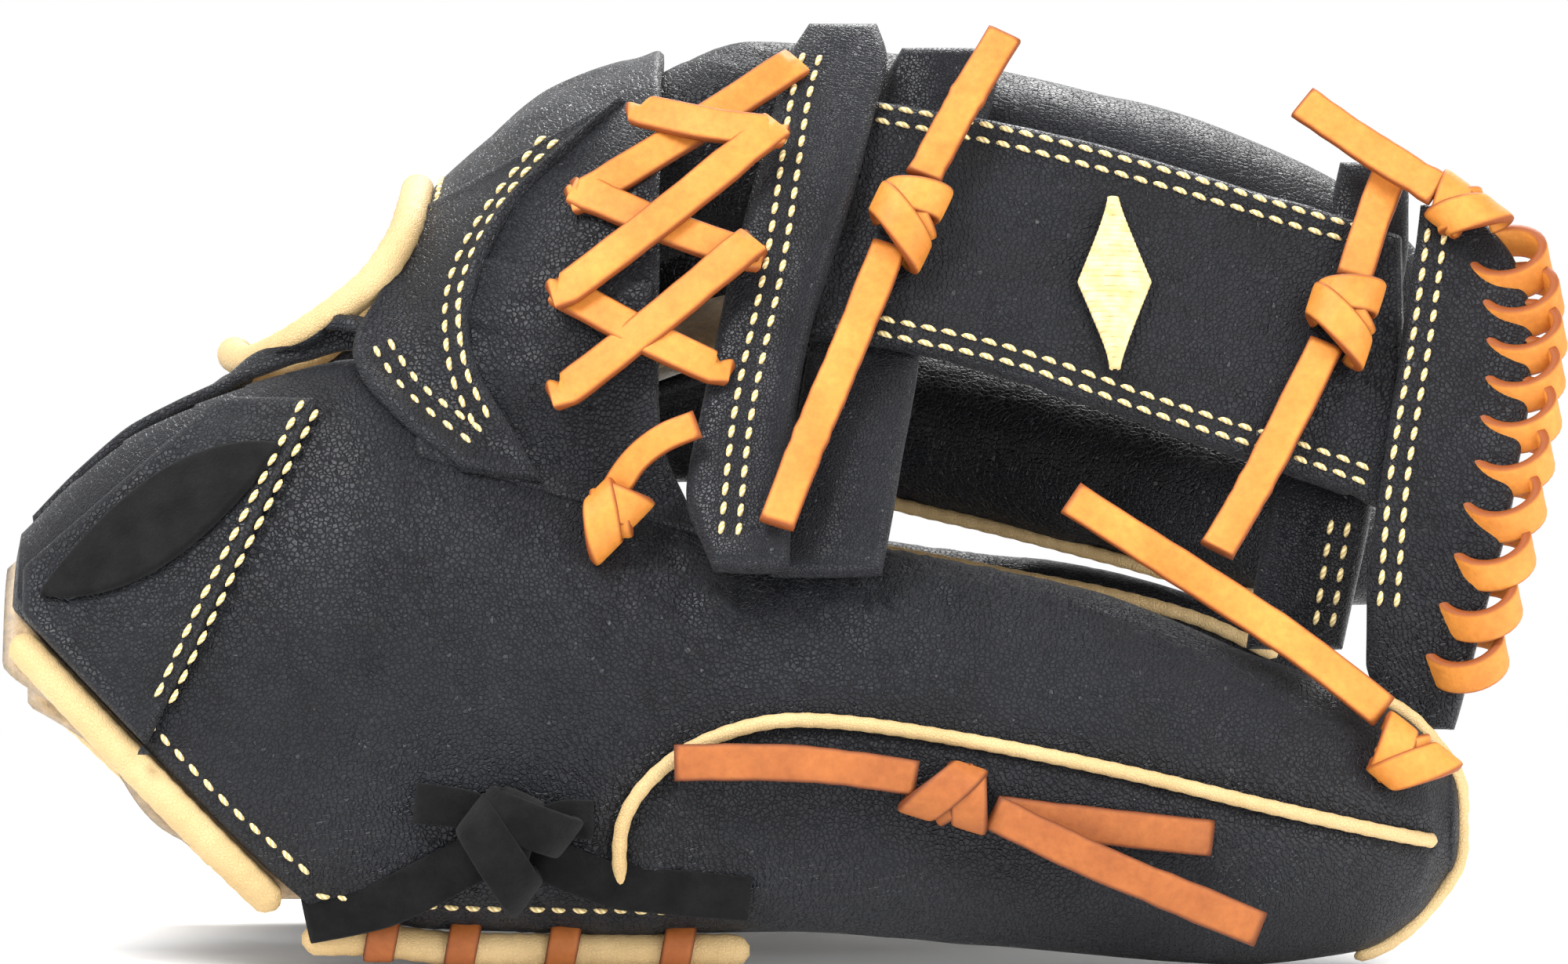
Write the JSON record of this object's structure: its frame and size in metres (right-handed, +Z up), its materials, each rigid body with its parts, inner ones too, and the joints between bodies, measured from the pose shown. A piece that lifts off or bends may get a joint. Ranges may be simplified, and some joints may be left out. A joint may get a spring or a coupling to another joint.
{
  "type": "baseball fielding glove",
  "caption": "Left-hand leather fielding glove: five padded finger stalls, palm, strapped back opening, single-post web, leather lacing with free ends and cream binding.",
  "frame": {"origin": "centre of the bounding box in plan, on the surface the glove stands on, palm down", "axes": "+X from the wrist to the finger tips, +Y from the thumb to the little finger, +Z up from the pocket to the back of the hand"},
  "size_m": [0.2744, 0.1647, 0.1655],
  "materials": {
    "black_leather": "semi-matt grained leather",
    "tan_lace": "waxed rawhide lace, rough cut edges",
    "brown_lace": "waxed rawhide lace",
    "cream_leather": "smooth binding leather",
    "tan_lining": "soft napped lining leather",
    "black_suede": "napped raw leather",
    "felt_pad": "felt",
    "cream_thread": "embroidery thread"
  },
  "bodies": {
    "hand": {"back_binding": "cream_leather", "end_index_tip": "tan_lace", "end_web_base_down": "tan_lace", "end_web_base_up": "tan_lace", "end_web_top_down": "tan_lace", "finger_tip_lace": "tan_lace", "hand_back": "black_leather", "heel_roll": "tan_lining", "index_panel": "black_leather", "index_stall": "black_leather", "index_tip_knot": "tan_lace", "index_welt": "cream_leather", "middle_stall": "black_leather", "middle_welt": "cream_leather", "palm_leather": "black_leather", "palm_lining": "tan_lining", "palm_pad": "felt_pad", "ring_stall": "black_leather", "ring_welt": "cream_leather", "strap_lining": "tan_lining", "strap_patch": "black_suede", "web_base_bar": "black_leather", "web_base_knot": "tan_lace", "web_base_roll": "black_leather", "web_crotch_lace": "tan_lace", "web_edge_band": "black_leather", "web_edge_lace": "tan_lace", "web_emblem": "cream_thread", "web_post": "black_leather", "web_top_bar": "black_leather", "web_top_knot": "tan_lace", "web_top_lace": "tan_lace", "wrist_strap": "black_leather"},
    "thumb_side": {"crotch_knot": "tan_lace", "end_thumb_loop_left": "brown_lace", "end_thumb_loop_right": "brown_lace", "end_thumb_tip": "tan_lace", "heel_tie": "black_suede", "strap_tab": "black_leather", "thumb_heel_binding": "cream_leather", "thumb_heel_lace": "brown_lace", "thumb_heel_pad": "felt_pad", "thumb_lining": "tan_lining", "thumb_loop_knot": "brown_lace", "thumb_loop_lace": "brown_lace", "thumb_stall": "black_leather", "thumb_tip_knot": "tan_lace", "thumb_tip_welt": "cream_leather", "thumb_welt": "cream_leather", "wrist_binding_thumb": "cream_leather"},
    "little_side": {"little_heel_binding": "cream_leather", "little_heel_lace": "brown_lace", "little_heel_pad": "felt_pad", "little_lining": "tan_lining", "little_loop_knot": "brown_lace", "little_loop_lace": "brown_lace", "little_pocket_welt": "cream_leather", "little_stall": "black_leather", "little_welt": "cream_leather", "wrist_binding_little": "cream_leather"}
  },
  "joints": [
    {"name": "thumb_fold", "type": "hinge", "parent": "hand", "child": "thumb_side", "pos_m": [-0.075, -0.04, 0.093], "axis": [0.9491, -0.0377, -0.3128], "range_deg": [-5, 14], "stiffness_Nm_per_rad": 6},
    {"name": "little_finger_fold", "type": "hinge", "parent": "hand", "child": "little_side", "pos_m": [-0.075, 0.042, 0.084], "axis": [-0.973, -0.0879, 0.2134], "range_deg": [-5, 12], "stiffness_Nm_per_rad": 6}
  ]
}
